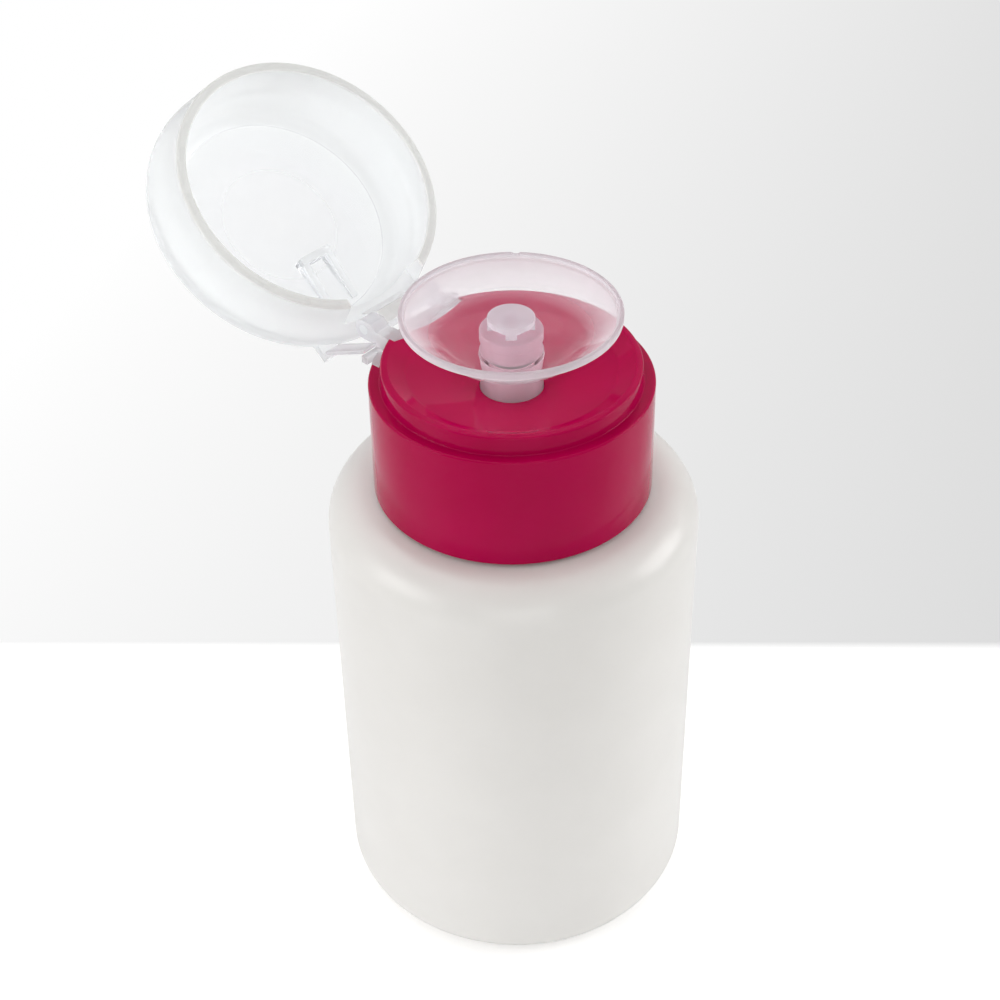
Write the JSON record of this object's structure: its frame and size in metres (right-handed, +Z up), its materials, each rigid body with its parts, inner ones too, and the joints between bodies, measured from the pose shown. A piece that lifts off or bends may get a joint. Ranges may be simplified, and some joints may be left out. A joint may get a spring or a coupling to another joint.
{
  "type": "press-dish pump bottle",
  "caption": "Round translucent bottle with a glossy screw cap, a spring pump worked by pressing a clear dish, and a clear flip lid on a snap hinge.",
  "frame": {"origin": "middle of the flat base, on the bottle's axis", "axes": "+Z up along the bottle's axis, +Y towards the lid's hinge at the back, +X to the right seen from the front"},
  "size_m": [0.06, 0.0981, 0.1343],
  "materials": {
    "bottle_white": "translucent satin, milky",
    "cap_magenta": "high gloss, opaque",
    "clear_plastic": "clear, polished",
    "pump_white": "moulded satin",
    "soft_seal": "soft satin",
    "steel": "bright",
    "tube": "translucent, extruded"
  },
  "bodies": {
    "bottle": {"bottle": "bottle_white"},
    "pump": {"neck_gasket": "soft_seal", "pump_cylinder": "pump_white", "retaining_collar": "pump_white", "stem_wiper": "soft_seal", "valve_cage": "pump_white", "dip_tube": "tube", "return_spring": "steel"},
    "cap": {"screw_cap": "cap_magenta", "hinge_base": "clear_plastic"},
    "lid": {"flip_lid": "clear_plastic"},
    "straps": {"hinge_strap_left": "clear_plastic", "hinge_strap_right": "clear_plastic"},
    "plunger": {"press_dish": "clear_plastic", "outlet_plug": "clear_plastic", "pump_stem": "pump_white", "piston_rod": "pump_white", "piston_seal": "soft_seal"},
    "inlet_valve": {"inlet_ball": "steel"},
    "outlet_valve": {"outlet_ball": "steel"}
  },
  "joints": [
    {"name": "pump_lift", "type": "slide", "parent": "bottle", "child": "pump", "axis": [0, 0, 1], "range_m": [0, 0.005]},
    {"name": "cap_unscrew", "type": "hinge", "parent": "pump", "child": "cap", "pos_m": [0, 0, 0.1], "axis": [0, 0, 1], "range_deg": [0, 450]},
    {"name": "lid_swing", "type": "hinge", "parent": "cap", "child": "lid", "pos_m": [0, 0.02438, 0.10407], "axis": [1, 0, 0], "range_deg": [0, 141.5]},
    {"name": "strap_swing", "type": "hinge", "parent": "cap", "child": "straps", "pos_m": [0, 0.02161, 0.10268], "axis": [1, 0, 0], "range_deg": [0, 103.79]},
    {"name": "dish_press", "type": "slide", "parent": "pump", "child": "plunger", "axis": [0, 0, -1], "range_m": [0, 0.005], "stiffness_N_per_m": 600, "springref_m": -0.004, "deforming": ["return_spring"]},
    {"name": "inlet_ball_lift", "type": "slide", "parent": "pump", "child": "inlet_valve", "axis": [0, 0, 1], "range_m": [0, 0.0012]},
    {"name": "outlet_ball_lift", "type": "slide", "parent": "plunger", "child": "outlet_valve", "axis": [0, 0, 1], "range_m": [0, 0.001]}
  ],
  "couplings": [
    {"joint": "cap_unscrew", "follows": "pump_lift", "rad_per_m": 1570.8},
    {"joint": "strap_swing", "follows": "lid_swing", "ratio": 0.73211}
  ]
}
